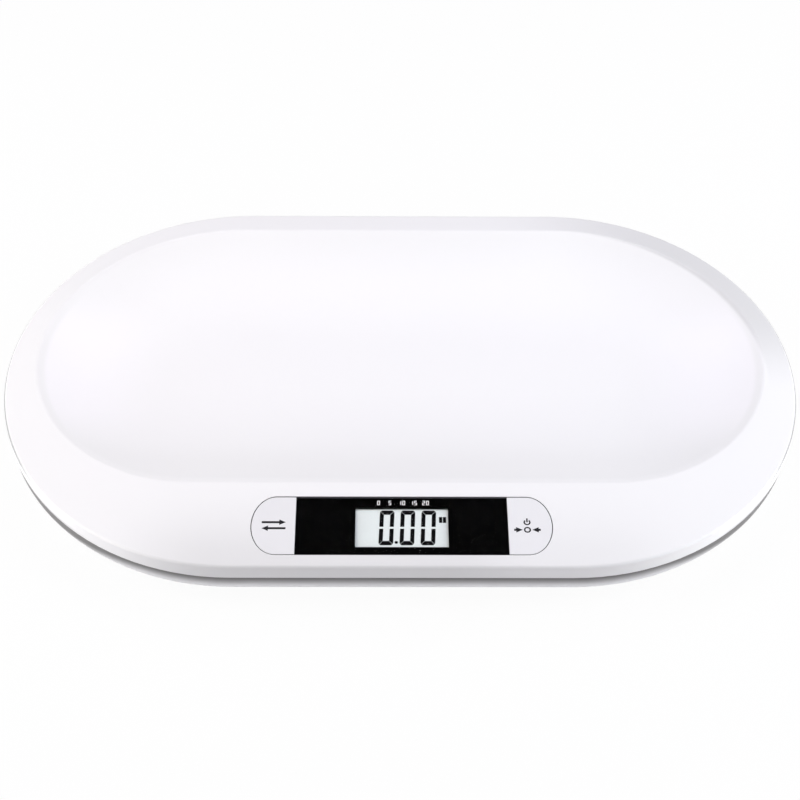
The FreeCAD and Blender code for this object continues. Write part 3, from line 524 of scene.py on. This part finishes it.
on_rim = inward.ease(0.0196, 0.0168)
in_basin = inward.ease(0.018, 0.022) * up.ease(0.039, 0.037)
on_lip = inward.ease(0.004, 0.003)
lip_bottom, lip_top = 0.0272, 0.0388
# Painted shade along the top edge of the lip at its two ends.
top_edge = (up.ease(lip_top - 0.0024, lip_top - 0.0014)
            * up.ease(lip_top + 0.00005, lip_top - 0.0004))
# Painted shade rising from the foot edge of the lip at its two ends.
foot_edge = up.ease(lip_bottom + 0.004, lip_bottom + 0.0006)
shaded_top_ends, shaded_foot_ends = sideways.ease(0.235, 0.262), sideways.ease(0.19, 0.24)
# Painted shade on the rim at the right and the back.
right_side = across.ease(0.06, 0.21) * back.ease(-0.02, 0.06)
back_side = back.ease(0.04, 0.10)
# Painted shade on the basin's front slope.
front_slope = back.ease(-0.045, -0.075)
# Painted shade on the front deck round the keys, darker towards the lip.
front_deck = (back * -1.0).ease(0.095, 0.155)
by_keys = front_deck * sideways.ease(0.20, 0.12) * (1.0 - across.ease(0.03, 0.09) * 0.5)
near_edge = inward.ease(0.040, 0.0)
# Painted shade in the joint round the window.
round_panel = sideways.ease(0.1, 0.099) * (back + 0.1325).size().ease(0.026, 0.025)
# Every entry here is painted shade, with how dark it is.
shade_marks = (  # where a mark lies and how strong it is
    (by_keys, 0.11),
    (by_keys * near_edge, 0.06),
    (on_rim * right_side, 0.22),
    (on_rim * back_side, 0.02),
    (in_basin * front_slope, 0.025),
    (on_lip * top_edge * shaded_top_ends, 0.65),
    (on_lip * foot_edge * shaded_foot_ends, 0.45),
    (joint_shade(tray_plastic) * round_panel, 0.9),
)
painted_shade = sum(mark * strength for mark, strength in shade_marks)

drift, clouds, peel = (tray_plastic.speckle(scale) for scale in (7.0, 60.0, 320.0))
plain_white = tray_plastic.blend(drift, (0.885, 0.883, 0.887, 1), (0.87, 0.87, 0.876, 1))
# Painted light: the basin's two ends are made whiter than the rest.
painted_light_ends = in_basin * sideways.ease(0.16, 0.23) * (back - 0.01).size().ease(0.08, 0.03)
unshaded_colour = tray_plastic.blend(painted_light_ends, plain_white, (0.93, 0.922, 0.94, 1))
tray_plastic.principled(base_color=tray_plastic.blend(painted_shade, unshaded_colour, (*shade_colour, 1)),
                        roughness=clouds * 0.06 + 0.31,
                        normal=tray_plastic.bump(peel, 0.3, 0.000006))
dress("tray", tray_plastic.material)


# ---- Floor and light ----
# A plain white table under soft lamps, high and low at both sides, low in front and wide behind,
# in a white room that the eye and the shiny pieces see, but that gives no light of its own.
floor_reach = 6
floor_mesh = bpy.data.meshes.new("floor")
floor_mesh.from_pydata([(x * floor_reach, y * floor_reach, 0)
                        for x, y in ((-1, -1), (1, -1), (1, 1), (-1, 1))], [], [(0, 1, 2, 3)])
floor = bpy.data.objects.new("floor", floor_mesh)
bpy.context.scene.collection.objects.link(floor)
paint = Finish("table_paint")
blotches = paint.speckle(3.0)
paint.principled(base_color=paint.blend(blotches, (0.9, 0.9, 0.9, 1), (0.88, 0.88, 0.88, 1)),
                 roughness=0.9)
white = paint.add("ShaderNodeEmission", values={"Color": (1, 1, 1, 1), "Strength": 1.0})
shadow_left = 0.05  # share of the paint that still shows, with its shadows
paint.show(paint.add("ShaderNodeMixShader", values={
    0: paint.seen_directly() * (1 - shadow_left), 1: paint.shader, 2: white}))
floor_mesh.materials.append(paint.material)

lamp_depth, lamp_aim = 0.5, Vector((0, 0, 0.03))


def lamp(name, place, width, power, colour):
    """A soft rectangular lamp that points at the middle of the scale."""
    light = bpy.data.lights.new(name, "AREA")
    light.shape, light.size, light.size_y = "RECTANGLE", width, lamp_depth
    light.energy, light.color = power, colour
    thing = bpy.data.objects.new(name, light)
    bpy.context.scene.collection.objects.link(thing)
    thing.location = place
    direction = lamp_aim - Vector(place)
    thing.rotation_euler = direction.to_track_quat("-Z", "Y").to_euler()


high, low = 0.95, 0.35
lamp("left_high", (-0.9, -0.1, high), 0.5, 6.1, (1.0, 0.937, 0.866))
lamp("right_high", (0.9, -0.1, high), 0.5, 5.94, (0.844, 0.903, 1.0))
lamp("over_back", (0.0, 0.5, high), 1.1, 3.2, (0.98, 0.93, 1.0))
lamp("back", (0.0, 1.1, high), 1.1, 1.8, (0.8, 0.75, 1.0))
lamp("right_low", (1.3, 0.0, low), 0.5, 9.3, (1.0, 0.995, 0.955))
lamp("left_low", (-1.3, 0.0, low), 0.5, 7.8, (0.943, 0.972, 1.0))
for side in (-1, 1):
    lamp("front_low", (side * 0.92, -0.92, low), 0.5, 3.3, (0.967, 0.942, 1.0))

bpy.context.scene.world = bpy.data.worlds.new("sky")
sky = Finish("sky", bpy.context.scene.world)
sky.show(sky.add("ShaderNodeBackground",
                 values={"Color": (1, 1, 1, 1), "Strength": sky.seen_directly()}))

bpy.context.scene.view_settings.view_transform = "Standard"
